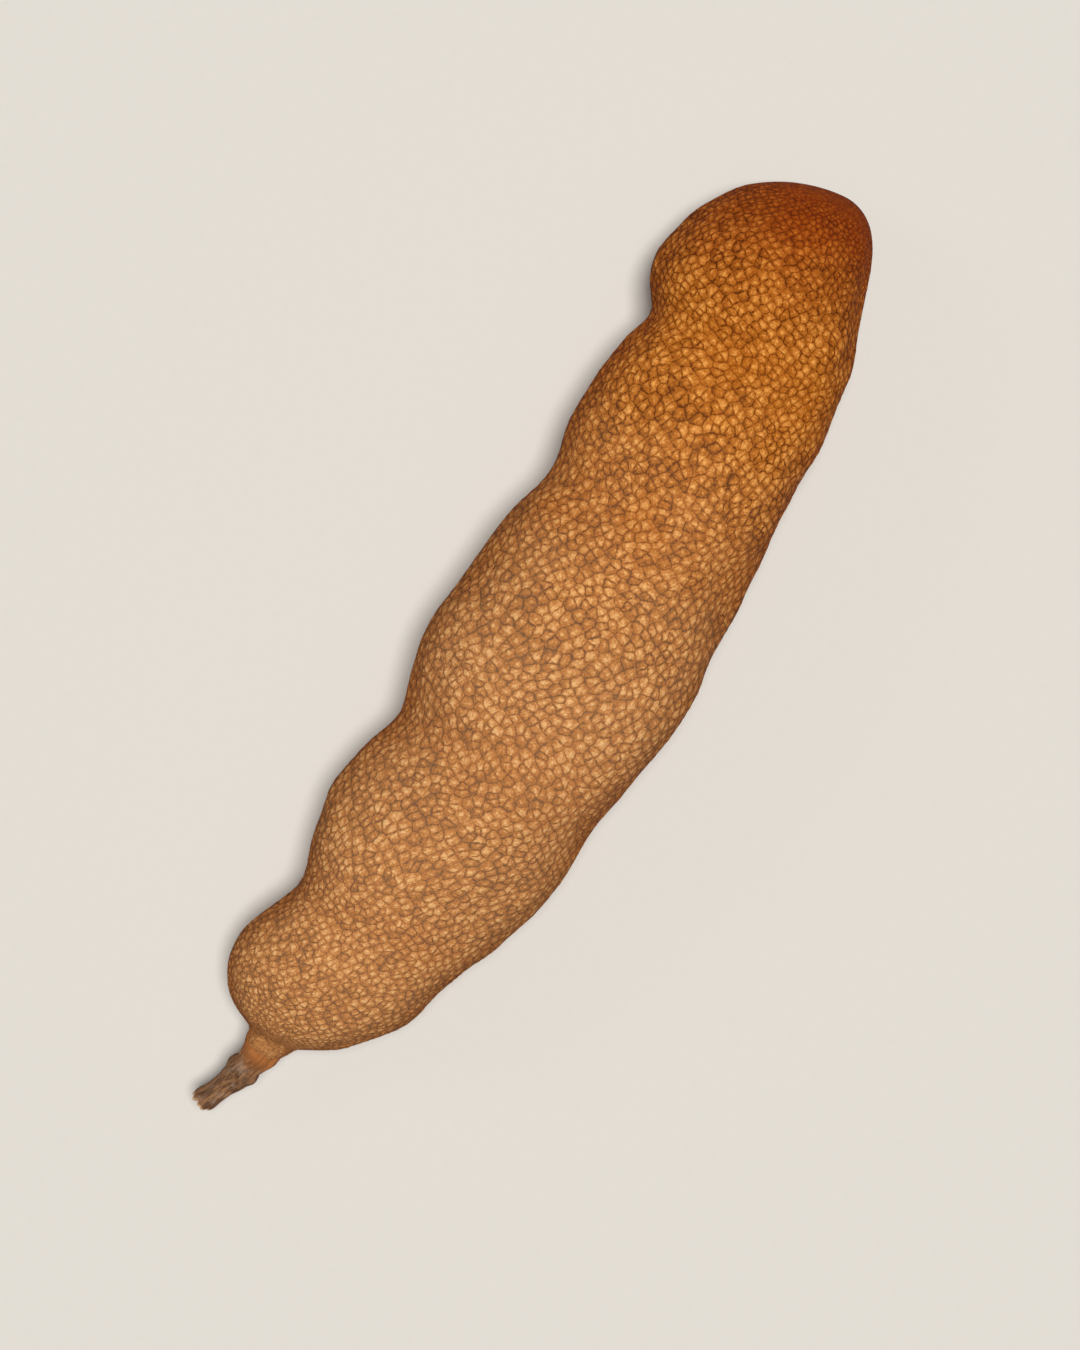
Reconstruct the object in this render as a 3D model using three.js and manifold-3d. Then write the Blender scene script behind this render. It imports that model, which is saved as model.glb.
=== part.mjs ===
// Ripe tamarind pod with its cut stalk, lying on its broad side. Millimetres, +Z up.
// +X runs along the pod to its free tip and +Y points into the hollow of its curve.
// The origin is under the middle of the whole, on the surface that it rests on.
import * as THREE from 'three';
import { mergeVertices } from 'three/addons/utils/BufferGeometryUtils.js';
import Module from 'manifold-3d';

// The pod's own coordinates are moved by this, so that the whole stands over the origin.
const ORIGIN = { x: 14.6, y: -1.2 };

// The shell is a row of swellings, listed from the free tip to the neck. Each is widest at one
// place along the pod, runs out over a length towards the tip and another towards the stalk, and
// has a half width to the hollow side, one to the arched side, and a half height.
// Fullness 2 gives an ellipse; a higher one gives a fuller shoulder.
const SWELLINGS = [
  { at: 30.4, toTip: 13.3, toStalk: 7.8, hollow: 12.9, arched: 8.1, height: 9.0, fullness: 2 },
  { at: 13.0, toTip: 20.0, toStalk: 15.0, hollow: 11.8, arched: 12.2, height: 10.0, fullness: 2 },
  { at: -10.5, toTip: 19.0, toStalk: 17.5, hollow: 14.1, arched: 12.7, height: 11.2, fullness: 2.8 },
  { at: -33.5, toTip: 16.0, toStalk: 15.0, hollow: 12.8, arched: 12.0, height: 9.9, fullness: 2.2 },
  { at: -51.0, toTip: 13.5, toStalk: 11.5, hollow: 10.2, arched: 9.6, height: 8.8, fullness: 2 },
  { at: -60.5, toTip: 7.5, toStalk: 5.0, hollow: 2.9, arched: 2.9, height: 2.8, fullness: 2 },
];
const TIP = SWELLINGS[0];
const NECK = SWELLINGS[SWELLINGS.length - 1];
const TIP_END = TIP.at + TIP.toTip;
const NECK_END = NECK.at - NECK.toStalk;

// The waists between swellings are deep in the hollow and shallow on the arch, because there and
// over the top the swellings reach further into each other.
const REACH = { hollow: 1, arched: 1.25, height: 1.2 };
const BLEND = 6;

// The middle line bends towards the hollow near the stalk and away from it near the tip, and is
// highest where the pod is thickest, so that the swellings together rest on the surface.
const BEND = { knee: 5, y: -1.5, stalk: 11, tip: 3.2 };
const ARCH = { top: 10.9, at: -10, drop: 2.3, over: 40 };

// Skin points: a triangular lattice of rows round the pod, closed at the tip and the neck's end.
const AROUND = 51;
const ROWS = 97;
const TIP_ROWS = 15;
const NECK_ROWS = 5;

// The net-like skin is a close cover of low pebbles, one on each third lattice point, with every
// point moved a little at random, by a share of the lattice step.
const PEBBLE = { height: 0.3, heightSpread: 0.4, groundSpread: 0.15, place: 0.17 };
const SEED = 7;

// The net fades out over these rows from the tip and from the neck's end, and below this height.
const NET_FADE = { tipRows: [1, 7], neckRows: [3, 12], height: [0.4, 2] };

// A low keel on both narrow sides, and the swell of the whole surface in long waves.
const SEAM = { height: 0.28, width: 0.16 };
const LUMPS = { height: 0.22, waves: [{ along: 0.31, around: 2 }, { along: 0.19, around: -3 }] };

// Woody stub of the stalk: radius and distance from the neck's end, from its foot in the neck's
// socket past a low ring to the cut end, which is a little wider. The free part bends sideways.
const STALK_PROFILE = [
  [0, -4], [1.4, -4], [1.55, -3.4], [1.55, 0.5], [1.9, 1.1], [1.9, 1.7], [1.5, 2.4],
  [1.2, 4.2], [1.2, 6], [1.45, 7], [1.35, 7.5], [0, 7.35],
];
const STALK_SIDES = 16;
const STALK_BEND = 0.6;
const SOCKET = { radius: 1.85, depth: 4.3, pastNeck: 3 };

// Points nearer than this are one point.
const MERGE = 1e-4;

const { clamp, mapLinear, smoothstep, seededRandom } = THREE.MathUtils;

// Half size of the shell at x on one side: each swelling gives size * sqrt(1 - t^fullness), with t
// from 0 at its widest to 1 at its end. The result is the BLEND-th root of the sum of their
// BLEND-th powers, which rounds the waists.
function halfSize(x, side) {
  const last = SWELLINGS.length - 1;
  const sum = SWELLINGS.reduce((total, swelling, i) => {
    const towardsTip = x > swelling.at;
    const stretch = (towardsTip ? i > 0 : i < last - 1) ? REACH[side] : 1;
    const run = stretch * (towardsTip ? swelling.toTip : swelling.toStalk);
    const t = Math.min(Math.abs(x - swelling.at) / run, 1);
    return total + (swelling[side] * Math.sqrt(1 - t ** swelling.fullness)) ** BLEND;
  }, 0);
  return sum ** (1 / BLEND);
}

function middleY(x) {
  const t = x - BEND.knee;
  return t < 0
    ? BEND.y + BEND.stalk * (t / (NECK_END - BEND.knee)) ** 2
    : BEND.y - BEND.tip * (t / (TIP_END - BEND.knee)) ** 2;
}

function middleZ(x) {
  return ARCH.top - ARCH.drop * ((x - ARCH.at) / ARCH.over) ** 2;
}

// Rows of skin points from the tip to the neck's end, at even angles round the two end caps and
// at even steps between them.
function rowX(row) {
  const quarter = Math.PI / 2;
  const fromNeck = ROWS - row;
  if (row <= TIP_ROWS) return TIP.at + TIP.toTip * Math.cos((row / TIP_ROWS) * quarter);
  if (fromNeck <= NECK_ROWS) return NECK.at - NECK.toStalk * Math.cos((fromNeck / NECK_ROWS) * quarter);
  return mapLinear(row, TIP_ROWS, ROWS - NECK_ROWS, TIP.at, NECK.at);
}

function swell(x, angle) {
  return LUMPS.waves.reduce(
    (total, wave) => total + LUMPS.height * Math.sin(wave.along * x + wave.around * angle),
    0,
  );
}

// Point of the shell at x and at an angle that turns from the hollow side over the top, raised by
// a height along the section.
function shellPoint(x, angle, raise) {
  const hollow = halfSize(x, 'hollow');
  const arched = halfSize(x, 'arched');
  const seam = SEAM.height * Math.exp(-((Math.sin(angle) / SEAM.width) ** 2));
  const girth = clamp(arched / TIP.arched, 0, 1);
  const out = girth * (raise + seam + swell(x, angle));
  const y = middleY(x) + (hollow - arched) / 2 + ((hollow + arched) / 2 + out) * Math.cos(angle);
  const z = middleZ(x) + (halfSize(x, 'height') + out) * Math.sin(angle);
  return new THREE.Vector3(x + ORIGIN.x, y + ORIGIN.y, Math.max(z, 0));
}

// How much of the net shows at a skin point: none at the ends of the pod and where it rests.
function netShare(row, x, angle) {
  const ends = smoothstep(row, ...NET_FADE.tipRows) * smoothstep(ROWS - row, ...NET_FADE.neckRows);
  const height = middleZ(x) + halfSize(x, 'height') * Math.sin(angle);
  return ends * smoothstep(height, ...NET_FADE.height);
}

function podShell() {
  const geometry = new THREE.SphereGeometry(1, AROUND, ROWS);
  const position = geometry.attributes.position;
  const rowStep = (TIP.at - NECK.at) / (ROWS - TIP_ROWS - NECK_ROWS);
  const angleStep = (2 * Math.PI) / AROUND;
  seededRandom(SEED);
  const draws = Array.from({ length: 3 * AROUND * (ROWS + 1) }, () => 2 * seededRandom() - 1);
  for (let row = 0; row <= ROWS; row += 1) {
    for (let column = 0; column <= AROUND; column += 1) {
      const draw = 3 * (row * AROUND + (column % AROUND));
      const evenAngle = angleStep * (column - row / 2);
      const share = netShare(row, rowX(row), evenAngle);
      const x = rowX(row) + share * PEBBLE.place * rowStep * draws[draw];
      const angle = evenAngle + share * PEBBLE.place * angleStep * draws[draw + 1];
      const onPebble = (row + column) % 3 === 0;
      const raise = onPebble
        ? PEBBLE.height * (1 + PEBBLE.heightSpread * draws[draw + 2])
        : PEBBLE.height * PEBBLE.groundSpread * draws[draw + 2];
      const point = shellPoint(x, angle, share * raise);
      position.setXYZ(row * (AROUND + 1) + column, point.x, point.y, point.z);
    }
  }
  return geometry;
}

// Places a shape that runs along +Y so that it leaves the neck's end in line with the middle line.
function alongNeck(geometry) {
  const step = 1;
  const middle = (x) => new THREE.Vector3(x + ORIGIN.x, middleY(x) + ORIGIN.y, middleZ(x));
  const end = middle(NECK_END);
  const direction = middle(NECK_END - step).sub(end).normalize();
  const turn = new THREE.Quaternion().setFromUnitVectors(new THREE.Vector3(0, 1, 0), direction);
  return geometry.applyQuaternion(turn).translate(end.x, end.y, end.z);
}

function socketHole() {
  const { radius, depth, pastNeck } = SOCKET;
  const hole = new THREE.CylinderGeometry(radius, radius, depth + pastNeck, STALK_SIDES);
  return alongNeck(hole.translate(0, (pastNeck - depth) / 2, 0));
}

// The stalk is turned in a lathe and its free part is bent by the square of the distance.
function stalkStub() {
  const profile = STALK_PROFILE.map(([radius, along]) => new THREE.Vector2(radius, along));
  const geometry = new THREE.LatheGeometry(profile, STALK_SIDES);
  const position = geometry.attributes.position;
  const freeLength = profile[profile.length - 1].y;
  for (let i = 0; i < position.count; i += 1) {
    const free = Math.max(position.getY(i), 0) / freeLength;
    position.setX(i, position.getX(i) + STALK_BEND * free ** 2);
  }
  return alongNeck(geometry);
}

function closedMesh(geometry) {
  geometry.deleteAttribute('normal');
  geometry.deleteAttribute('uv');
  return mergeVertices(geometry, MERGE);
}

// Cuts one closed shape out of another.
function cutFrom(wasm, body, tool) {
  const [kept, removed] = [body, tool].map((geometry) => {
    const closed = closedMesh(geometry);
    return new wasm.Manifold(new wasm.Mesh({
      numProp: 3,
      vertProperties: new Float32Array(closed.attributes.position.array),
      triVerts: new Uint32Array(closed.index.array),
    }));
  });
  const result = kept.subtract(removed).getMesh();
  const geometry = new THREE.BufferGeometry();
  geometry.setAttribute('position', new THREE.BufferAttribute(result.vertProperties, 3));
  geometry.setIndex(new THREE.BufferAttribute(result.triVerts, 1));
  return geometry;
}

function piece(name, geometry, material) {
  geometry.computeVertexNormals();
  const mesh = new THREE.Mesh(geometry, new THREE.MeshStandardMaterial(material));
  mesh.name = name;
  return mesh;
}

const wasm = await Module();
wasm.setup();

const SKIN = { color: '#b26a2c', roughness: 0.85, metalness: 0 };
const DRY_WOOD = { color: '#6f4d31', roughness: 0.9, metalness: 0 };

const tamarind = new THREE.Group();
tamarind.add(piece('pod', cutFrom(wasm, podShell(), socketHole()), SKIN));
tamarind.add(piece('stalk', closedMesh(stalkStub()), DRY_WOOD));

export default tamarind;
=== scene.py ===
"""Ripe tamarind pod with its cut stalk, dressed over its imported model.

The frame is in metres, with +X along the pod to its free tip, +Y into the hollow of its curve and
+Z up. The shape's own sizes are in millimetres, as they are in the model, and become metres when
a mesh is made. The pod lies on a floor at z = 0.
"""

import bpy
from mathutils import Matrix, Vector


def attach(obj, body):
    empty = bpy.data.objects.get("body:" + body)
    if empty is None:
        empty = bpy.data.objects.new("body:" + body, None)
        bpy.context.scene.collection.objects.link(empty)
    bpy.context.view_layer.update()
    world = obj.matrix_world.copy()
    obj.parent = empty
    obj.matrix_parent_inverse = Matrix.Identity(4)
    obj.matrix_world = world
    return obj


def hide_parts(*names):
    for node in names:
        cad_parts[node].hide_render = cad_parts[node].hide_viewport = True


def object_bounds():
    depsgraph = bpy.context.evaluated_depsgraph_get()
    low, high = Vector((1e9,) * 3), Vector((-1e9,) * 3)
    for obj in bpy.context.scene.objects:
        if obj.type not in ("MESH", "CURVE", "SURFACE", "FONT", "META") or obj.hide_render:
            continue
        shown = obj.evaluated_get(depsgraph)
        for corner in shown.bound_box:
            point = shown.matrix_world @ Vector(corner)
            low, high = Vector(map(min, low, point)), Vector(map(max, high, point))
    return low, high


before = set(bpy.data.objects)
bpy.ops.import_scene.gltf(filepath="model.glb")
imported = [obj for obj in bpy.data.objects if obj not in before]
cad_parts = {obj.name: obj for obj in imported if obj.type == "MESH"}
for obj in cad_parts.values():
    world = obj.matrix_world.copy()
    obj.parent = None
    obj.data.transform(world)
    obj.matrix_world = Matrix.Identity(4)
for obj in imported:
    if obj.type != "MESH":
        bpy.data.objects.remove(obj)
CAD_BOX = [list(corner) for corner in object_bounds()]

import math

import bpy
import numpy as np
from bpy.props import FloatProperty, FloatVectorProperty, IntProperty, PointerProperty
from mathutils import Matrix, Vector

bl_info = {
    "name": "Tamarind Pod",
    "version": (1, 0, 0),
    "blender": (4, 5, 0),
    "location": "3D View > Sidebar > Tamarind",
    "description": "A ripe tamarind pod with net-like skin and a cut stalk",
    "category": "Object",
}

MM = 0.001

# The model's own dimensions, mm: where its middle stands, its swellings from the free tip to the
# neck, how far they reach into each other, its middle line, its keels and its long waves.
ORIGIN = np.array([14.6, -1.2, 0.0])
SWELLINGS = [
    dict(at=30.4, to_tip=13.3, to_stalk=7.8, hollow=12.9, arched=8.1, height=9.0, fullness=2),
    dict(at=13.0, to_tip=20.0, to_stalk=15.0, hollow=11.8, arched=12.2, height=10.0, fullness=2),
    dict(at=-10.5, to_tip=19.0, to_stalk=17.5, hollow=14.1, arched=12.7, height=11.2, fullness=2.8),
    dict(at=-33.5, to_tip=16.0, to_stalk=15.0, hollow=12.8, arched=12.0, height=9.9, fullness=2.2),
    dict(at=-51.0, to_tip=13.5, to_stalk=11.5, hollow=10.2, arched=9.6, height=8.8, fullness=2),
    dict(at=-60.5, to_tip=7.5, to_stalk=5.0, hollow=2.9, arched=2.9, height=2.8, fullness=2),
]
TIP = SWELLINGS[0]
NECK = SWELLINGS[-1]
TIP_END = TIP["at"] + TIP["to_tip"]
NECK_END = NECK["at"] - NECK["to_stalk"]
REACH = dict(hollow=1.0, arched=1.25, height=1.2)
BLEND = 6
BEND = dict(knee=5.0, y=-1.5, stalk=11.0, tip=3.2)
ARCH = dict(top=10.9, at=-10.0, drop=2.3, over=40.0)
SEAM = dict(height=0.28, width=0.16)
LUMPS = dict(height=0.22, waves=((0.31, 2), (0.19, -3)))
STALK_BEND = 0.6


# ---------------------------------------------------------------- shader tools

class Wire:
    """A shader output that reads as a number: operators on it add Math nodes."""

    def __init__(self, maker, output):
        self.maker = maker
        self.output = output

    def math(self, operation, *values):
        return self.maker.node("ShaderNodeMath", {"operation": operation}, values)

    def __add__(self, other):
        return self.math("ADD", self, other)

    def __sub__(self, other):
        return self.math("SUBTRACT", self, other)

    def __rsub__(self, other):
        return self.math("SUBTRACT", other, self)

    def __mul__(self, other):
        return self.math("MULTIPLY", self, other)

    def __truediv__(self, other):
        return self.math("DIVIDE", self, other)

    __radd__ = __add__
    __rmul__ = __mul__

    def ramp(self, start, end, low=0.0, high=1.0):
        """Smooth step of the value from low at start to high at end."""
        settings = {"interpolation_type": "SMOOTHSTEP"}
        return self.maker.node("ShaderNodeMapRange", settings, (self, start, end, low, high))


class Maker:
    """Builds the nodes of one material, or of the world."""

    def __init__(self, owner):
        self.owner = owner
        owner.use_nodes = True
        self.tree = owner.node_tree
        self.tree.nodes.clear()

    def node(self, kind, settings=None, values=(), output=0):
        """Adds a node, applies its settings, then sets or links its sockets.

        values is a sequence in socket order, or a dict from socket name or index.
        """
        node = self.tree.nodes.new(kind)
        for key, value in (settings or {}).items():
            setattr(node, key, value)
        pairs = values.items() if isinstance(values, dict) else enumerate(values)
        for key, value in pairs:
            if isinstance(value, Wire):
                self.tree.links.new(value.output, node.inputs[key])
            else:
                node.inputs[key].default_value = value
        return Wire(self, node.outputs[output]) if node.outputs else None

    def attribute(self, name, output="Fac"):
        return self.node("ShaderNodeAttribute", {"attribute_name": name}, output=output)

    def noise(self, vector, scale, detail=2.0, rough=0.5, output="Fac"):
        values = {"Vector": vector, "Scale": scale, "Detail": detail, "Roughness": rough}
        return self.node("ShaderNodeTexNoise", {}, values, output)

    def vector(self, operation, *values):
        """Vector Math: values are vectors, and for SCALE the last is a number."""
        names = {"SCALE": (0, "Scale")}.get(operation, (0, 1))
        return self.node("ShaderNodeVectorMath", {"operation": operation}, dict(zip(names, values)))

    def voronoi(self, chart, feature, output, scale, randomness):
        settings = {"voronoi_dimensions": "2D", "feature": feature}
        values = {"Vector": chart, "Scale": scale, "Randomness": randomness}
        return self.node("ShaderNodeTexVoronoi", settings, values, output)

    def mix(self, share, low, high, blend="MIX"):
        """Colour that goes from low to high as share goes from 0 to 1."""
        node = self.tree.nodes.new("ShaderNodeMix")
        node.data_type = "RGBA"
        node.blend_type = blend
        for key, value in (("Factor", share), ("A", low), ("B", high)):
            socket = [s for s in node.inputs if s.name == key and s.enabled][0]
            if isinstance(value, Wire):
                self.tree.links.new(value.output, socket)
            else:
                socket.default_value = value
        return Wire(self, [s for s in node.outputs if s.enabled][0])

    def split(self, colour, channel):
        return self.node("ShaderNodeSeparateColor", {}, (colour,), channel)

    def finish(self, specular, base, roughness, height):
        """Closes the material: varying colour, roughness and bump height in mm on one shader."""
        bump = {"Strength": 1.0, "Distance": MM, "Height": height}
        normal = self.node("ShaderNodeBump", {}, bump)
        values = {"Base Color": base, "Roughness": roughness, "Specular IOR Level": specular,
                  "Normal": normal}
        shader = self.node("ShaderNodeBsdfPrincipled", {}, values)
        self.node("ShaderNodeOutputMaterial", {}, {"Surface": shader})
        return self.owner


def colour(hex_digits):
    """Linear colour with alpha from six hexadecimal digits of display colour, by sRGB's formula."""
    display = [int(hex_digits[i:i + 2], 16) / 255 for i in (0, 2, 4)]
    linear = [v / 12.92 if v <= 0.04045 else ((v + 0.055) / 1.055) ** 2.4 for v in display]
    return (*linear, 1.0)


# ---------------------------------------------------------------- shape tools

def half_size(x, side):
    """Half size of the shell at x, mm, on one side.

    Each swelling gives size * sqrt(1 - t ** fullness), with t from 0 where it is widest to 1 at
    its end. The result is the BLEND-th root of the sum of their BLEND-th powers, which rounds the
    waists.
    """
    total = np.zeros_like(x)
    for i, swelling in enumerate(SWELLINGS):
        tip_run = swelling["to_tip"] * (REACH[side] if i > 0 else 1)
        stalk_run = swelling["to_stalk"] * (REACH[side] if i < len(SWELLINGS) - 2 else 1)
        run = np.where(x > swelling["at"], tip_run, stalk_run)
        t = np.minimum(np.abs(x - swelling["at"]) / run, 1)
        total += (swelling[side] * np.sqrt(1 - t ** swelling["fullness"])) ** BLEND
    return total ** (1 / BLEND)


def middle_y(x):
    """The middle line's sideways bend at x: one parabola towards the stalk, another to the tip."""
    t = x - BEND["knee"]
    to_stalk = BEND["y"] + BEND["stalk"] * (t / (NECK_END - BEND["knee"])) ** 2
    to_tip = BEND["y"] - BEND["tip"] * (t / (TIP_END - BEND["knee"])) ** 2
    return np.where(t < 0, to_stalk, to_tip)


def middle_z(x):
    """The middle line's height at x: a parabola, highest where the pod is thickest."""
    return ARCH["top"] - ARCH["drop"] * ((x - ARCH["at"]) / ARCH["over"]) ** 2


# The shares of its length that a wave of an uneven field may have.
LENGTH_SPREAD = (0.75, 1.33)


def rolling(points, length, seed, count=12):
    """Smooth uneven field, mostly between -1 and 1: sine waves in random directions.

    Each wave is sin(2 pi * (point . direction) / length + phase), with lengths spread by a third.
    Their sum is divided by the root of half their count.
    """
    rng = np.random.default_rng(seed)
    field = np.zeros(points.shape[:-1])
    for _ in range(count):
        direction = rng.normal(size=3)
        direction /= np.linalg.norm(direction)
        wave = 2 * np.pi / (length * rng.uniform(*LENGTH_SPREAD))
        field += np.sin(points @ direction * wave + rng.uniform(0, 2 * np.pi))
    return field / math.sqrt(count / 2)


def smooth(share):
    """Smooth step of a share that is held between 0 and 1."""
    share = np.clip(share, 0, 1)
    return share * share * (3 - 2 * share)


# Keeps the division by a normal's length from being one by zero.
LEAST_LENGTH = 1e-9


def grid_normals(points):
    """Unit outward normals of a grid closed round its second axis: the cross product of its two
    tangents, divided by its length."""
    along = np.gradient(points, axis=0)
    around = np.roll(points, -1, axis=1) - np.roll(points, 1, axis=1)
    normals = np.cross(around, along)
    length = np.linalg.norm(normals, axis=-1, keepdims=True)
    return -normals / np.maximum(length, LEAST_LENGTH)


# The map for baking keeps this share of the image clear along its edges.
BAKE_EDGE = 0.002


def closed_grid(name, points, attributes, chart=None):
    """Mesh object of a grid closed round its second axis, with its first and last rows as poles.

    points is (rows, columns, 3) in mm. attributes maps a name to (rows, columns) numbers or
    (rows, columns, 3) vectors, which are kept on the mesh's points. chart, where there is one, is
    (rows, columns + 1, 2), and becomes a UV map: its last column closes the ring. Another map, the
    share of the rows against the share of the columns, has no overlaps and is there for baking.
    """
    rows, columns = points.shape[:2]

    def flat(values):
        poles = values[:1, 0], values[-1:, 0]
        inner = values[1:-1].reshape(-1, *values.shape[2:])
        return np.concatenate([poles[0], inner, poles[1]])

    ring = np.arange(columns)
    after = np.roll(ring, -1)
    start = 1 + columns * np.arange(rows - 3)[:, None]
    quads = np.stack([start + ring, start + columns + ring, start + columns + after, start + after], -1)
    last = 1 + columns * (rows - 2)
    tip_fan = np.stack([0 * ring, 1 + ring, 1 + after], -1)
    end_fan = np.stack([last + 0 * ring, last - columns + after, last - columns + ring], -1)
    faces = quads.reshape(-1, 4).tolist() + tip_fan.tolist() + end_fan.tolist()
    mesh = bpy.data.meshes.new(name)
    mesh.from_pydata((flat(points) * MM).tolist(), [], faces)
    mesh.polygons.foreach_set("use_smooth", np.ones(len(faces), bool))
    for key, values in attributes.items():
        vector = values.ndim == 3
        layer = mesh.attributes.new(key, "FLOAT_VECTOR" if vector else "FLOAT", "POINT")
        field = "vector" if vector else "value"
        layer.data.foreach_set(field, flat(values).astype(np.float32).ravel())
    shares = [np.linspace(BAKE_EDGE, 1 - BAKE_EDGE, count) for count in (rows, columns + 1)]
    maps = {} if chart is None else {"chart": chart}
    maps["OFBake"] = np.stack(np.meshgrid(*shares, indexing="ij"), -1)
    for key, places in maps.items():
        here, there = places[:, :-1], places[:, 1:]
        corners = np.stack([here[1:-2], here[2:-1], there[2:-1], there[1:-2]], 2).reshape(-1, 2)
        tip_corners = np.stack([here[0], here[1], there[1]], 1).reshape(-1, 2)
        end_corners = np.stack([here[-1], there[-2], here[-2]], 1).reshape(-1, 2)
        layer = mesh.uv_layers.new(name=key)
        layer.data.foreach_set("uv", np.concatenate([corners, tip_corners, end_corners]).ravel())
    mesh.update()
    piece = bpy.data.objects.new(name, mesh)
    bpy.context.scene.collection.objects.link(piece)
    return piece


def cell_reach(chart, randomness):
    """Distance of each place on a flat chart from the middle of its Voronoi cell.

    A throwaway cloud of points asks the same texture node that the skin's material uses, so the
    raised cells lie exactly under the painted ones.
    """
    mesh = bpy.data.meshes.new("probe")
    mesh.vertices.add(chart.size // 2)
    flat = np.concatenate([chart, 0 * chart[..., :1]], -1)
    mesh.vertices.foreach_set("co", flat.astype(np.float32).ravel())
    probe = bpy.data.objects.new("probe", mesh)
    bpy.context.scene.collection.objects.link(probe)
    tree = bpy.data.node_groups.new("probe", "GeometryNodeTree")
    tree.interface.new_socket("Geometry", in_out="INPUT", socket_type="NodeSocketGeometry")
    tree.interface.new_socket("Geometry", in_out="OUTPUT", socket_type="NodeSocketGeometry")
    kinds = ("NodeGroupInput", "GeometryNodeInputPosition", "ShaderNodeTexVoronoi",
             "GeometryNodeStoreNamedAttribute", "NodeGroupOutput")
    given, position, cells, store, result = [tree.nodes.new(kind) for kind in kinds]
    cells.voronoi_dimensions = "2D"
    cells.inputs["Scale"].default_value = 1.0
    cells.inputs["Randomness"].default_value = randomness
    store.data_type = "FLOAT"
    store.domain = "POINT"
    store.inputs["Name"].default_value = "reach"
    tree.links.new(position.outputs[0], cells.inputs["Vector"])
    tree.links.new(given.outputs[0], store.inputs["Geometry"])
    tree.links.new(cells.outputs["Distance"], store.inputs["Value"])
    tree.links.new(store.outputs[0], result.inputs[0])
    probe.modifiers.new("probe", "NODES").node_group = tree
    asked = probe.evaluated_get(bpy.context.evaluated_depsgraph_get()).data
    reach = np.zeros(len(asked.vertices), np.float32)
    asked.attributes["reach"].data.foreach_get("value", reach)
    bpy.data.objects.remove(probe)
    bpy.data.meshes.remove(mesh)
    bpy.data.node_groups.remove(tree)
    return reach.reshape(chart.shape[:-1])


# ---------------------------------------------------------------- pod

# Rows round the tip's and the neck's end caps.
TIP_ROWS = 62
NECK_ROWS = 20

# Forms of the surface, mm: a groove along each keel, slow bulges, small dimples, and creases that
# wind round the neck. The widths of the groove and of the darker skin beside it are sines of the
# angle round the pod. WAIST_FULL is how far a full waist is drawn in, and FLOOR_ROUNDING rounds the
# edges of the flat resting spots.
GROOVE = dict(depth=0.10, width=0.030)
SUTURE_WIDTH = 2.2 * GROOVE["width"]
BULGE = dict(height=0.10, length=12.0, seed=21)
DIMPLE = dict(height=0.05, length=5.0, seed=22)
CREASE = dict(height=0.10, folds=9, twist=0.4, start=-54.0, over=6.0)
WAIST_FULL = 3.0
FLOOR_ROUNDING = 0.05

# The skin's flat chart: its radius and least radius, mm, its turn, and the slow waves that push it
# about, mm.
CHART_RADIUS = 12.0
LEAST_RADIUS = 0.8
CHART_TURN = 0.5
WARP = dict(shift=0.3, length=14.0, seeds=(11, 12))

# The net, in cells: how far from a cell's middle its bead stands out and sinks away, the widths of
# its lines, and the finer net across it. GROWN is in mm: the net starts where the shell's mean
# radius is its start, and is full where the radius has grown by its over.
BEAD = dict(top=-0.20, foot=0.58)
LINE = dict(width=0.13, fine_width=0.26)
FINE = dict(scale=2.1, randomness=0.9)
GROWN = dict(start=2.0, over=5.0)

# Noises on the skin: scale per metre, detail and roughness. The wobble bends the net's lines by up
# to about half of WOBBLE cells, and the grain makes the edges of beads and lines ragged. Where the
# net has not grown, crumbs of CRUMB_SIZE, mm, take the place of its cells.
NOISES = dict(cloud=(110.0, 3.0, 0.6), patch=(420.0, 2.0, 0.6), grain=(2200.0, 3.0, 0.6),
              dust=(7000.0, 1.0, 0.6), wobble=(1800.0, 1.0, 0.5))
WOBBLE = 0.35
RAGGED = dict(bead=0.3, line=0.12, fine=0.2)
CRUMB_SIZE = 0.7

# The skin's tone is 0 in the deepest lines and 1 on the palest cells. These are its layers' shares
# of that, the stops between its colours, and what it gives to the bump, mm. The bead's share makes
# each cell lighter in its middle and darker towards its edge: partly paler scurf on the cell tops,
# partly a painted highlight that rounds each bead.
TONE = dict(ground=0.47, bead=0.49, line=0.48, crisp=0.22, fine=0.28, patch=0.14, grain=0.8,
            dust=0.4, tint=0.28, mottle=0.3)
COLOUR_STOPS = dict(cell=(0.0, 0.5), pale=(0.42, 1.0))
BUMP = dict(tone=0.12, grain=0.03)
SHEEN = dict(specular=0.07, roughness=0.85, spread=0.14)

# Colours over the whole pod. Towards the stalk the scurf grows drier and paler. The tip is a deeper
# orange, partly rubbed skin and partly painted shade, and both narrow sides carry painted shade,
# where the surface turns away from the light above. The waists and the keels' grooves are darker.
# BLOOM runs between two places, mm from the origin, and TIP_RUB_AND_SHADE between two, mm from the tip's
# end, and the cloud noise moves both by their wander. A side counts as narrow where the normal's rise is
# under FLANK_SLOPE, and FLANK_SHADE sets how much painted shade it gets. CRISP and WARM are the clouds
# that sharpen the lines and that let the waists' darker orange through.
BLOOM = dict(over=(41.0, -4.0), wander=22.0, lines=0.15, cells=0.355)
TIP_RUB_AND_SHADE = dict(start=-19.0, full=-1.0, wander=10.0)
FLANK_SLOPE = 0.78
FLANK_SHADE = dict(least=0.65, cloud=0.5)
CRISP = (0.35, 0.65)
WARM = (0.3, 0.6)
WAIST_SHARE = 0.3
SUTURE_SHARE = 0.3


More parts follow.
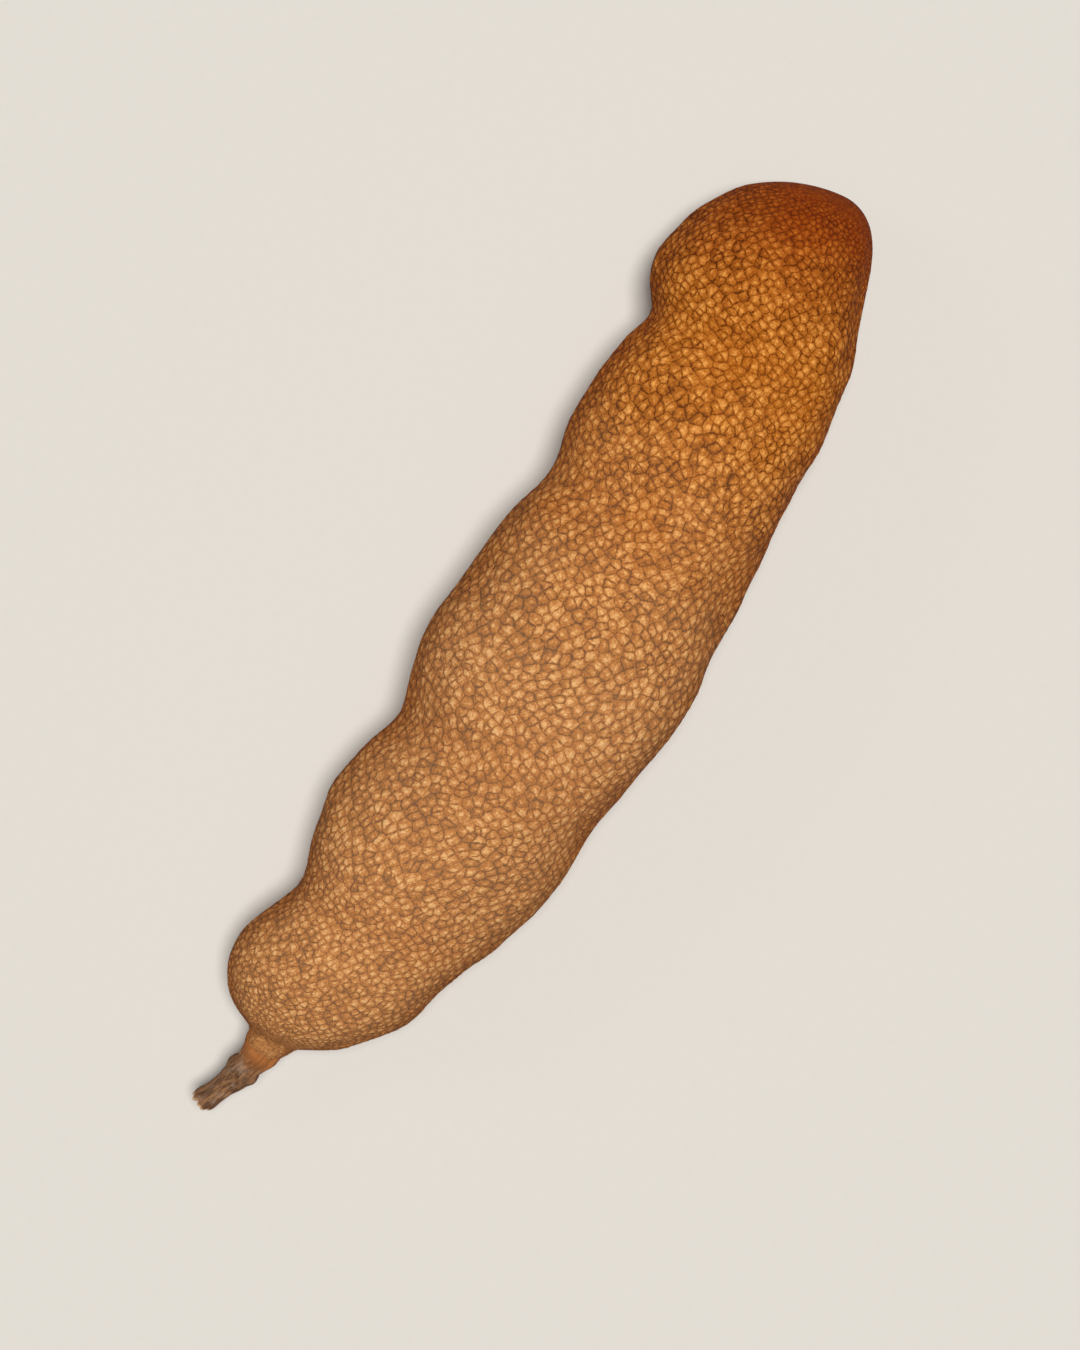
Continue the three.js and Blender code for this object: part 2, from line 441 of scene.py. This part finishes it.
def pod_rows(rows):
    """x of each row from the tip to the neck's end: even angles round the end caps, and even
    steps between them."""
    quarter = math.pi / 2
    tip = TIP["at"] + TIP["to_tip"] * np.cos(np.linspace(0, quarter, TIP_ROWS, endpoint=False))
    neck = NECK["at"] - NECK["to_stalk"] * np.sin(np.linspace(0, quarter, NECK_ROWS))
    length = np.linspace(TIP["at"], NECK["at"], rows - TIP_ROWS - NECK_ROWS, endpoint=False)
    return np.concatenate([tip, length, neck])


def pod_shell(x, angle):
    """The shell without its net, mm: an oval section at each x.

    The angle turns from the hollow side over the top. The section has its own half widths to
    the hollow and the arched side and its half height, low grooved keels on both narrow sides,
    and a slow swell of two long waves.
    """
    hollow = half_size(x, "hollow")
    arched = half_size(x, "arched")
    girth = np.clip(arched / TIP["arched"], 0, 1)
    sine = np.sin(angle)
    seam = SEAM["height"] * np.exp(-(sine / SEAM["width"]) ** 2)
    seam = seam - GROOVE["depth"] * np.exp(-(sine / GROOVE["width"]) ** 2)
    swell = sum(LUMPS["height"] * np.sin(along * x + turns * angle) for along, turns in LUMPS["waves"])
    out = girth * (seam + swell)
    y = middle_y(x) + (hollow - arched) / 2 + ((hollow + arched) / 2 + out) * np.cos(angle)
    z = middle_z(x) + (half_size(x, "height") + out) * sine
    return np.stack(np.broadcast_arrays(x, y, z), -1) + ORIGIN


def waist_depth(x):
    """How far the hollow side is drawn in between two swellings, from 0 to 1.

    It is measured from a straight line between their widest places, as a share of a full waist.
    """
    centres = np.array([s["at"] for s in SWELLINGS[::-1]])
    sizes = np.array([s["hollow"] for s in SWELLINGS[::-1]])
    return np.clip((np.interp(x, centres, sizes) - half_size(x, "hollow")) / WAIST_FULL, 0, 1)


def skin_chart(shell, cell):
    """Flat chart of the skin in cells, (rows, columns + 1, 2), and the sections' mean radius, mm.

    Around, it is the share of the section's own perimeter, as an angle. Along, it is the sum of
    the steps divided by the mean radius there. So the cells keep their shape, and are cell mm
    wide where the radius is CHART_RADIUS and finer towards both ends. Slow waves push it about.
    The whole is turned, so that no row of cells runs along the pod or round it. The chart starts
    and ends at the keel on the hollow side.
    """
    closed = np.concatenate([shell, shell[:, :1]], 1)
    sides = np.linalg.norm(np.diff(closed, axis=1), axis=-1)
    sides[[0, -1]] = sides[[1, -2]]
    perimeter = sides.sum(1, keepdims=True)
    around = np.concatenate([0 * perimeter, np.cumsum(sides, 1)], 1) * 2 * np.pi / perimeter
    radius = np.maximum(perimeter / (2 * np.pi), LEAST_RADIUS)
    steps = np.linalg.norm(np.diff(closed, axis=0), axis=-1).mean(1, keepdims=True)
    along = np.concatenate([[[0]], np.cumsum(steps * 2 / (radius[1:] + radius[:-1]), 0)])
    chart = np.stack(np.broadcast_arrays(along, around), -1) * CHART_RADIUS / cell
    shift = [rolling(closed, WARP["length"], seed) for seed in WARP["seeds"]]
    chart = chart + np.stack(shift, -1) * WARP["shift"] / cell
    turn = np.array([[math.cos(CHART_TURN), math.sin(CHART_TURN)],
                     [-math.sin(CHART_TURN), math.cos(CHART_TURN)]])
    return chart @ turn, radius


def pod_surface(settings):
    """The finished shell, what its material reads, and the flat chart of its skin.

    The shell is moved along its normals by the net, slow bulges, small dimples and the neck's
    creases. A cell of the net stands up by a smooth step of the distance from its middle. At the
    floor the height z becomes (z + sqrt(z^2 + rounding^2)) / 2, which is never below 0.
    """
    x = pod_rows(settings.rows)[:, None]
    angle = np.linspace(0, 2 * np.pi, settings.columns, endpoint=False)[None, :]
    shell = pod_shell(x, angle)
    girth = np.clip(half_size(x, "arched") / TIP["arched"], 0, 1)
    chart, radius = skin_chart(shell, settings.cell_size / MM)
    reach = cell_reach(chart[:, :-1], settings.randomness)
    bead = smooth((BEAD["foot"] - reach) / (BEAD["foot"] - BEAD["top"]))
    suture = np.broadcast_to(np.exp(-(np.sin(angle) / SUTURE_WIDTH) ** 2), reach.shape)
    net = settings.net_depth / MM * (bead - 0.5) * (1 - suture)
    grown = smooth((radius - GROWN["start"]) / GROWN["over"]) * np.ones_like(reach)
    uneven = sum(form["height"] * rolling(shell, form["length"], form["seed"])
                 for form in (BULGE, DIMPLE))
    neck = np.clip((CREASE["start"] - x) / CREASE["over"], 0, 1)
    folds = CREASE["height"] * np.sin(CREASE["folds"] * angle + CREASE["twist"] * x) * neck
    out = girth * (net * grown + uneven + folds)
    normals = grid_normals(shell)
    points = shell + normals * out[..., None]
    height = points[..., 2]
    points[..., 2] = (height + np.sqrt(height ** 2 + FLOOR_ROUNDING ** 2)) / 2
    points[0] = points[0, 0]
    points[-1] = points[-1, 0]
    waist = np.broadcast_to(waist_depth(x), reach.shape)
    # Painted shade: 1 on the narrow sides, where the surface turns away from the light above, and 0 on
    # the top and the underside.
    painted_side_shade = 1 - smooth(np.abs(normals[..., 2]) / FLANK_SLOPE)
    return points, {"grown": grown, "waist": waist, "suture": suture, "painted_side_shade": painted_side_shade}, chart


def skin_material(settings):
    """Dry scurfy skin: pale cells of uneven tone between thin dark lines.

    Its tone is 0 in the deepest lines and 1 on the palest cells. Each cell is lighter in its
    middle and darker towards its edge: partly paler scurf on the cell tops, partly a painted
    highlight that rounds each bead. Fainter finer lines cross the cells, and grain, dust and
    patches break them up. The tone picks the colour, from the lines' to the cells' to the palest
    cells'. Towards the stalk the scurf is paler. The tip is a deeper orange, partly rubbed skin and
    partly painted shade, both narrow sides carry painted shade, and the waists and the keels'
    grooves are darker.
    """
    maker = Maker(bpy.data.materials.new("pod_skin"))
    place = maker.node("ShaderNodeTexCoord", {}, output="Object")
    along = maker.node("ShaderNodeSeparateXYZ", {}, (place,), 0) / MM
    wobble = maker.noise(place, *NOISES["wobble"], output="Color")
    wobble = maker.vector("SUBTRACT", wobble, (0.5, 0.5, 0.5))
    chart = maker.node("ShaderNodeUVMap", {"uv_map": "chart"})
    chart = maker.vector("ADD", chart, maker.vector("SCALE", wobble, WOBBLE))
    reach = maker.voronoi(chart, "F1", "Distance", 1.0, settings.randomness)
    tint = maker.split(maker.voronoi(chart, "F1", "Color", 1.0, settings.randomness), 0)
    edge = maker.voronoi(chart, "DISTANCE_TO_EDGE", "Distance", 1.0, settings.randomness)
    fine = maker.voronoi(chart, "DISTANCE_TO_EDGE", "Distance", FINE["scale"], FINE["randomness"])
    cloud = maker.noise(place, *NOISES["cloud"])
    patch, grain, dust = (maker.noise(place, *NOISES[name]) - 0.5 for name in ("patch", "grain", "dust"))

    stops = BEAD["foot"], BEAD["top"]
    grown = maker.attribute("grown")
    # Each cell is lighter in its middle and darker towards its edge: partly paler scurf on its top,
    # partly a painted highlight that rounds the bead.
    bead = (reach + RAGGED["bead"] * grain).ramp(*stops)
    crumb = maker.node("ShaderNodeTexVoronoi", {}, {"Vector": place, "Scale": 1 / (CRUMB_SIZE * MM)})
    bead = grown * bead + (1 - grown) * (crumb + RAGGED["bead"] * grain).ramp(*stops)
    line = (1 - (edge + RAGGED["line"] * grain).ramp(0.0, LINE["width"])) * grown
    fine_line = 1 - (fine + RAGGED["fine"] * grain).ramp(0.0, LINE["fine_width"])
    crisp = TONE["line"] + TONE["crisp"] * cloud.ramp(*CRISP)
    tone = (TONE["ground"] + TONE["bead"] * bead) * (1 - crisp * line) * (1 - TONE["fine"] * fine_line)
    tone = tone + TONE["patch"] * patch + TONE["grain"] * grain + TONE["dust"] * dust
    tone = tone + TONE["tint"] * (tint - 0.5) + TONE["mottle"] * (cloud - 0.5)

    cell, pale = tone.ramp(*COLOUR_STOPS["cell"]), tone.ramp(*COLOUR_STOPS["pale"])
    skin_colour = maker.mix(cell, tuple(settings.line_colour), tuple(settings.cell_colour))
    skin_colour = maker.mix(pale, skin_colour, tuple(settings.pale_colour))
    dry = (along + BLOOM["wander"] * (cloud - 0.5)).ramp(*BLOOM["over"])
    bloom = dry * (BLOOM["lines"] + BLOOM["cells"] * pale)
    skin_colour = maker.mix(bloom, skin_colour, tuple(settings.bloom_colour))
    # The waists turn a darker orange, by how far the hollow side is drawn in there.
    waist = maker.attribute("waist") * cloud.ramp(*WARM) * WAIST_SHARE
    skin_colour = maker.mix(waist, skin_colour, tuple(settings.warm_colour))
    # The tip's deeper orange: partly rubbed skin, partly painted shade.
    tip_end = TIP_END + ORIGIN[0]
    tip = along + TIP_RUB_AND_SHADE["wander"] * (cloud - 0.5) - tip_end
    tip = tip.ramp(TIP_RUB_AND_SHADE["start"], TIP_RUB_AND_SHADE["full"])
    # Painted shade on both narrow sides, less where the tip's colour already deepens them.
    painted_side_shade = maker.attribute("painted_side_shade") * (FLANK_SHADE["least"] + FLANK_SHADE["cloud"] * cloud) * (1 - tip)
    skin_colour = maker.mix(painted_side_shade, skin_colour, tuple(settings.flank_shade_tint), "MULTIPLY")
    skin_colour = maker.mix(tip, skin_colour, tuple(settings.tip_rub_and_shade_tint), "MULTIPLY")
    suture = maker.attribute("suture") * SUTURE_SHARE
    skin_colour = maker.mix(suture, skin_colour, tuple(settings.line_colour))

    roughness = SHEEN["roughness"] + SHEEN["spread"] * grain
    height = BUMP["tone"] * tone + BUMP["grain"] * grain
    return maker.finish(SHEEN["specular"], skin_colour, roughness, height)


class PodSettings(bpy.types.PropertyGroup):
    rows: IntProperty(name="Rows", description="Rows of points along the pod", default=384, min=120)
    columns: IntProperty(name="Columns", description="Points round the pod", default=256, min=48)
    cell_size: FloatProperty(name="Cell size", description="Size that sets the net's spacing",
                             default=1.15 * MM, unit="LENGTH", precision=5)
    randomness: FloatProperty(name="Randomness", description="How uneven the cells are",
                              default=0.74, min=0.0, max=1.0)
    net_depth: FloatProperty(name="Net depth", description="How far the cells stand up",
                             default=0.14 * MM, unit="LENGTH", precision=5)
    cell_colour: FloatVectorProperty(name="Cell colour", description="Cells of the net", size=4,
                                     subtype="COLOR", default=colour("a35c18"))
    pale_colour: FloatVectorProperty(name="Pale cell colour", description="Palest cells", size=4,
                                     subtype="COLOR", default=colour("dc9748"))
    # Darker orange of the waists.
    warm_colour: FloatVectorProperty(name="Warm colour", description="Rust in the scurf", size=4,
                                     subtype="COLOR", default=colour("9c4f0a"))
    line_colour: FloatVectorProperty(name="Line colour", description="Lines of the net", size=4,
                                     subtype="COLOR", default=colour("582804"))
    bloom_colour: FloatVectorProperty(name="Bloom colour", description="Dry scurf past the tip", size=4,
                                      subtype="COLOR", default=colour("ccb189"))
    # Painted shade on both narrow sides.
    flank_shade_tint: FloatVectorProperty(name="Flank tint", description="Deepens both narrow sides", size=4,
                                    subtype="COLOR", default=(0.60, 0.38, 0.13, 1.0))
    # Deeper orange at the tip: partly rubbed skin, partly painted shade.
    tip_rub_and_shade_tint: FloatVectorProperty(name="Tip tint", description="Deepens the rubbed tip", size=4,
                                  subtype="COLOR", default=(0.58, 0.31, 0.07, 1.0))


class TAMARIND_OT_pod(bpy.types.Operator):
    """Make the pod's shell with its raised net and its skin"""

    bl_idname = "tamarind.pod"
    bl_label = "Pod"

    def execute(self, context):
        settings = context.scene.tamarind_pod
        points, attributes, chart = pod_surface(settings)
        piece = closed_grid("pod_shell", points, attributes, chart)
        piece.data.materials.append(skin_material(settings))
        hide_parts("pod")
        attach(piece, "root")
        return {"FINISHED"}


# ---------------------------------------------------------------- stalk

# Radius and distance from the neck's end, mm: from the foot inside the neck, past the low ring,
# to the cut end.
STALK_OUTLINE = (
    (0.0, -3.6), (1.7, -3.2), (2.05, -1.2), (1.72, -0.2), (1.55, 0.5), (1.86, 1.15), (1.88, 1.6),
    (1.5, 2.4), (1.24, 4.2), (1.2, 5.8), (1.38, 6.8), (1.36, 7.4), (1.1, 7.45), (0.0, 7.3),
)
# Length of the part outside the neck, mm.
STALK_FREE = 7.35

# Forms of the stalk, mm. Each is an uneven field on a cylinder of the given radius, drawn out
# along the stalk: coarse and fine fibres, knots, and a cut end that is ragged past its start. They
# fade where the stalk's own radius is less than FULL_RADIUS. SOFTENING is the weights of the
# running mean that rounds the outline.
FIBRES = dict(radius=1.5, stretch=0.12, length=0.8, seed=31)
FINE_FIBRES = dict(share=0.6, length=0.4, seed=32)
KNOTS = dict(radius=1.0, stretch=0.5, height=0.05, length=1.6, seed=33)
CUT_END = dict(start=6.4, over=1.0, height=0.12, length=0.9, seed=34)
FULL_RADIUS = 1.0
SOFTENING = np.array([1, 2, 3, 2, 1]) / 9

# The wood's noises have a scale, a detail and a roughness, on coordinates in mm, and the fibres'
# are drawn out along the stalk. Then the stops of its colours, their shares, how far the blotches
# move the cut end's edge, mm, and its finish.
WOOD_FIBRE = (3.2, 4.0, 0.65)
WOOD_BLOTCH = (0.7, 3.0, 0.6)
WOOD_STRETCH = (1.0, 1.0, 0.16)
WOOD_STOPS = dict(bark=(0.35, 0.68), grey=(0.5, 0.75), root=(-1.6, 1.2), cut=(7.1, 7.3), pale=(0.3, 0.7))
WOOD_SHARE = dict(grey=0.5, root=0.75)
CUT_WANDER = 0.5
WOOD_SHEEN = dict(specular=0.25, roughness=0.78, spread=0.15)
WOOD_BUMP = dict(fibre=0.07, blotch=0.05)


def neck_frame():
    """The neck's end and the three directions there: out along the stalk, and two across it."""
    def middle(x):
        return Vector((x, float(middle_y(x)), float(middle_z(x)))) + Vector(ORIGIN)

    end = middle(NECK_END)
    step = 1.0
    out = (middle(NECK_END - step) - end).normalized()
    turn = Vector((0, 1, 0)).rotation_difference(out)
    return [np.array(v) for v in (end, out, turn @ Vector((1, 0, 0)), turn @ Vector((0, 0, 1)))]


def drawn_out(radius, angle, along, stretch):
    """Points round an axis at the given radius, with the length along it scaled by stretch."""
    place = radius * np.cos(angle), radius * np.sin(angle), stretch * along
    return np.stack(np.broadcast_arrays(*place), -1)


def stalk_surface(settings):
    """The finished stalk and what its material reads.

    A turned profile, rounded by a running mean, has lengthwise fibres and low knots. Its free part
    is bent sideways by the square of the distance, and its cut end is ragged.
    """
    outline = np.array(STALK_OUTLINE)
    steps = np.concatenate([[0], np.cumsum(np.linalg.norm(np.diff(outline, axis=0), axis=1))])
    path = np.linspace(0, steps[-1], settings.rows)
    radius = np.interp(path, steps, outline[:, 0])
    along = np.interp(path, steps, outline[:, 1])
    radius[2:-2] = np.convolve(radius, SOFTENING, "same")[2:-2]
    radius, along = radius[:, None], along[:, None]
    angle = np.linspace(0, 2 * np.pi, settings.columns, endpoint=False)[None, :]
    fibre_place = drawn_out(FIBRES["radius"], angle, along, FIBRES["stretch"])
    fibre = rolling(fibre_place, FIBRES["length"], FIBRES["seed"])
    fibre += FINE_FIBRES["share"] * rolling(fibre_place, FINE_FIBRES["length"], FINE_FIBRES["seed"])
    knot_place = drawn_out(KNOTS["radius"], angle, along, KNOTS["stretch"])
    knots = KNOTS["height"] * rolling(knot_place, KNOTS["length"], KNOTS["seed"])
    body = np.clip(radius / FULL_RADIUS, 0, 1)
    radius = radius + body * (settings.fibre_depth / MM * fibre + knots)
    end, out, side, up = neck_frame()
    free = np.clip(along, 0, None) / STALK_FREE
    across = radius * np.cos(angle) + STALK_BEND * free ** 2
    cut = np.clip((along - CUT_END["start"]) / CUT_END["over"], 0, 1) * body
    ragged = CUT_END["height"] * rolling(fibre_place, CUT_END["length"], CUT_END["seed"]) * cut
    points = (end + (along + ragged)[..., None] * out + across[..., None] * side
              + (radius * np.sin(angle))[..., None] * up)
    points[0] = points[0].mean(0)
    points[-1] = points[-1].mean(0)
    return points, {"grain": drawn_out(radius, angle, along, 1.0)}


def stalk_material(settings):
    """Dry grey-brown wood with lengthwise fibres, warmer at its foot, with a paler cut end."""
    maker = Maker(bpy.data.materials.new("stalk_wood"))
    grain = maker.attribute("grain", "Vector")
    along = maker.node("ShaderNodeSeparateXYZ", {}, (grain,), 2)
    fibre = maker.noise(maker.vector("MULTIPLY", grain, WOOD_STRETCH), *WOOD_FIBRE)
    blotch = maker.noise(grain, *WOOD_BLOTCH)

    weathered = blotch.ramp(*WOOD_STOPS["grey"]) * WOOD_SHARE["grey"]
    root = (1 - along.ramp(*WOOD_STOPS["root"])) * WOOD_SHARE["root"]
    cut = (along + CUT_WANDER * (blotch - 0.5)).ramp(*WOOD_STOPS["cut"])
    dark, bark, pale = settings.dark_colour, settings.bark_colour, settings.cut_colour
    side = maker.mix(fibre.ramp(*WOOD_STOPS["bark"]), tuple(dark), tuple(bark))
    side = maker.mix(weathered, side, tuple(settings.grey_colour))
    side = maker.mix(root, side, tuple(settings.root_colour))
    end = maker.mix(fibre.ramp(*WOOD_STOPS["pale"]), tuple(bark), tuple(pale))

    roughness = WOOD_SHEEN["roughness"] + WOOD_SHEEN["spread"] * fibre
    height = WOOD_BUMP["fibre"] * (fibre - 0.5) + WOOD_BUMP["blotch"] * (blotch - 0.5)
    return maker.finish(WOOD_SHEEN["specular"], maker.mix(cut, side, end), roughness, height)


class StalkSettings(bpy.types.PropertyGroup):
    rows: IntProperty(name="Rows", description="Rows of points along the stalk", default=150, min=40)
    columns: IntProperty(name="Columns", description="Points round the stalk", default=96, min=16)
    fibre_depth: FloatProperty(name="Fibre depth", description="Height of the lengthwise fibres",
                               default=0.045 * MM, unit="LENGTH", precision=5)
    bark_colour: FloatVectorProperty(name="Bark colour", description="Dry bark", size=4,
                                     subtype="COLOR", default=colour("8a6240"))
    dark_colour: FloatVectorProperty(name="Dark colour", description="Between the fibres", size=4,
                                     subtype="COLOR", default=colour("4a2f1c"))
    grey_colour: FloatVectorProperty(name="Grey colour", description="Weathered patches", size=4,
                                     subtype="COLOR", default=colour("8f7b68"))
    root_colour: FloatVectorProperty(name="Root colour", description="Where it leaves the shell",
                                     size=4, subtype="COLOR", default=colour("9a5a24"))
    cut_colour: FloatVectorProperty(name="Cut colour", description="Pale wood of the cut end",
                                    size=4, subtype="COLOR", default=colour("c9a57c"))


class TAMARIND_OT_stalk(bpy.types.Operator):
    """Make the cut stalk that grows out of the pod's neck"""

    bl_idname = "tamarind.stalk"
    bl_label = "Stalk"

    def execute(self, context):
        settings = context.scene.tamarind_stalk
        points, attributes = stalk_surface(settings)
        piece = closed_grid("stalk_stub", points, attributes)
        piece.data.materials.append(stalk_material(settings))
        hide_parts("stalk")
        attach(piece, "root")
        return {"FINISHED"}


# ---------------------------------------------------------------- stage

# The floor's size, m, its grain's scale, detail and roughness, the darker shade in its grain, its
# finish, and the height of its grain, mm.
FLOOR_SIZE = 40.0
FLOOR_GRAIN = (900.0, 3.0, 0.6)
FLOOR_SHADE = 0.96
FLOOR_SHEEN = dict(specular=0.5, roughness=0.82, spread=0.08)
FLOOR_BUMP = 0.02

# Where each light comes from, as shares of the picture's right, its top and straight above, and
# how far off its lamp stands, m.
LIGHT_FROM = dict(key=(0.08, 0.10, 0.98), fill=(-0.75, 0.30, 0.55))
LIGHT_DISTANCE = 0.6


class StageSettings(bpy.types.PropertyGroup):
    lean: FloatProperty(name="Lean", description="Turn of the pod from upright in the picture",
                        default=math.radians(27), subtype="ANGLE")
    tilt: FloatProperty(name="Tilt", description="Camera's turn from straight above, to picture top",
                        default=math.radians(6), subtype="ANGLE")
    lens: FloatProperty(name="Lens", description="Focal length", default=100.0, unit="CAMERA")
    picture_height: FloatProperty(name="Picture height", description="Height of what is in view",
                                  default=0.140, unit="LENGTH")
    floor_colour: FloatVectorProperty(name="Floor colour", description="Pale floor", size=4,
                                      subtype="COLOR", default=colour("c4bfb7"))
    key_light: FloatProperty(name="Key light", description="Strength of the main light", default=4.1)
    fill_light: FloatProperty(name="Fill light", description="Strength of the fill light", default=0.12)
    softness: FloatProperty(name="Softness", description="How wide the lights look from the floor",
                            default=math.radians(21), subtype="ANGLE")
    sky: FloatProperty(name="Sky", description="Strength of the even light", default=0.08)
    backdrop: FloatVectorProperty(name="Backdrop", description="What the camera sees past the floor",
                                  size=4, subtype="COLOR", default=colour("ddd8cf"))


def look_at(thing, place, target, up):
    """Puts a camera or light at place, looking at target, with up towards the picture's top."""
    back = (place - target).normalized()
    right = up.cross(back).normalized()
    turn = Matrix((right, back.cross(right), back)).transposed()
    thing.matrix_world = Matrix.Translation(place) @ turn.to_4x4()


def floor_material(settings):
    """Matt pale floor with a faint even grain."""
    maker = Maker(bpy.data.materials.new("floor_paper"))
    place = maker.node("ShaderNodeTexCoord", {}, output="Object")
    grain = maker.noise(place, *FLOOR_GRAIN)
    shade = (*(FLOOR_SHADE * value for value in settings.floor_colour[:3]), 1.0)
    tint = maker.mix(grain, shade, tuple(settings.floor_colour))
    roughness = FLOOR_SHEEN["roughness"] + FLOOR_SHEEN["spread"] * grain
    return maker.finish(FLOOR_SHEEN["specular"], tint, roughness, FLOOR_BUMP * grain)


def sky(settings):
    """World that gives an even light and that the camera sees as a pale backdrop."""
    maker = Maker(bpy.data.worlds.new("sky"))
    seen = maker.node("ShaderNodeLightPath", {}, output="Is Camera Ray")
    even = (settings.sky, settings.sky, settings.sky, 1.0)
    shade = maker.mix(seen, even, tuple(settings.backdrop))
    light = maker.node("ShaderNodeBackground", {}, {"Color": shade})
    maker.node("ShaderNodeOutputWorld", {}, {"Surface": light})
    return maker.owner


class TAMARIND_OT_stage(bpy.types.Operator):
    """Make the floor, the soft lights and the camera"""

    bl_idname = "tamarind.stage"
    bl_label = "Stage"

    def execute(self, context):
        settings = context.scene.tamarind_stage
        scene = context.scene
        low, high = (Vector(corner) for corner in CAD_BOX)
        middle = (low + high) / 2
        up = Vector((math.cos(settings.lean), math.sin(settings.lean), 0))
        right = Vector((math.sin(settings.lean), -math.cos(settings.lean), 0))
        above = Vector((0, 0, 1))

        bpy.ops.mesh.primitive_plane_add(size=FLOOR_SIZE)
        floor = context.object
        floor.name = "floor"
        floor.data.materials.append(floor_material(settings))

        camera = bpy.data.objects.new("camera", bpy.data.cameras.new("camera"))
        camera.data.lens = settings.lens
        scene.collection.objects.link(camera)
        scene.camera = camera
        distance = settings.picture_height * settings.lens / camera.data.sensor_width
        out = above * math.cos(settings.tilt) + up * math.sin(settings.tilt)
        look_at(camera, middle + distance * out, middle, up)

        for name, strength in (("key", settings.key_light), ("fill", settings.fill_light)):
            lamp = bpy.data.lights.new(name, "SUN")
            lamp.angle = settings.softness
            lamp.energy = strength
            light = bpy.data.objects.new(name, lamp)
            scene.collection.objects.link(light)
            to_right, to_top, to_above = LIGHT_FROM[name]
            direction = to_right * right + to_top * up + to_above * above
            look_at(light, middle + LIGHT_DISTANCE * direction.normalized(), middle, above)

        scene.world = sky(settings)
        scene.view_settings.view_transform = "Standard"
        return {"FINISHED"}


class TAMARIND_PT_pieces(bpy.types.Panel):
    """The pod's pieces and their sizes and colours"""

    bl_label = "Tamarind pod"
    bl_idname = "TAMARIND_PT_pieces"
    bl_space_type = "VIEW_3D"
    bl_region_type = "UI"
    bl_category = "Tamarind"

    def draw(self, context):
        for operator, settings in (("stage", context.scene.tamarind_stage),
                                   ("pod", context.scene.tamarind_pod),
                                   ("stalk", context.scene.tamarind_stalk)):
            box = self.layout.box()
            box.operator(f"tamarind.{operator}")
            for name in settings.__annotations__:
                box.prop(settings, name)


SETTINGS = {"tamarind_pod": PodSettings, "tamarind_stalk": StalkSettings, "tamarind_stage": StageSettings}
CLASSES = (*SETTINGS.values(), TAMARIND_OT_stage, TAMARIND_OT_pod, TAMARIND_OT_stalk, TAMARIND_PT_pieces)


def register():
    for cls in CLASSES:
        bpy.utils.register_class(cls)
    for name, group in SETTINGS.items():
        setattr(bpy.types.Scene, name, PointerProperty(type=group))


def unregister():
    for name in SETTINGS:
        delattr(bpy.types.Scene, name)
    for cls in reversed(CLASSES):
        bpy.utils.unregister_class(cls)


def main():
    register()
    bpy.ops.tamarind.stage()
    bpy.ops.tamarind.pod()
    bpy.ops.tamarind.stalk()


if __name__ == "__main__":
    main()
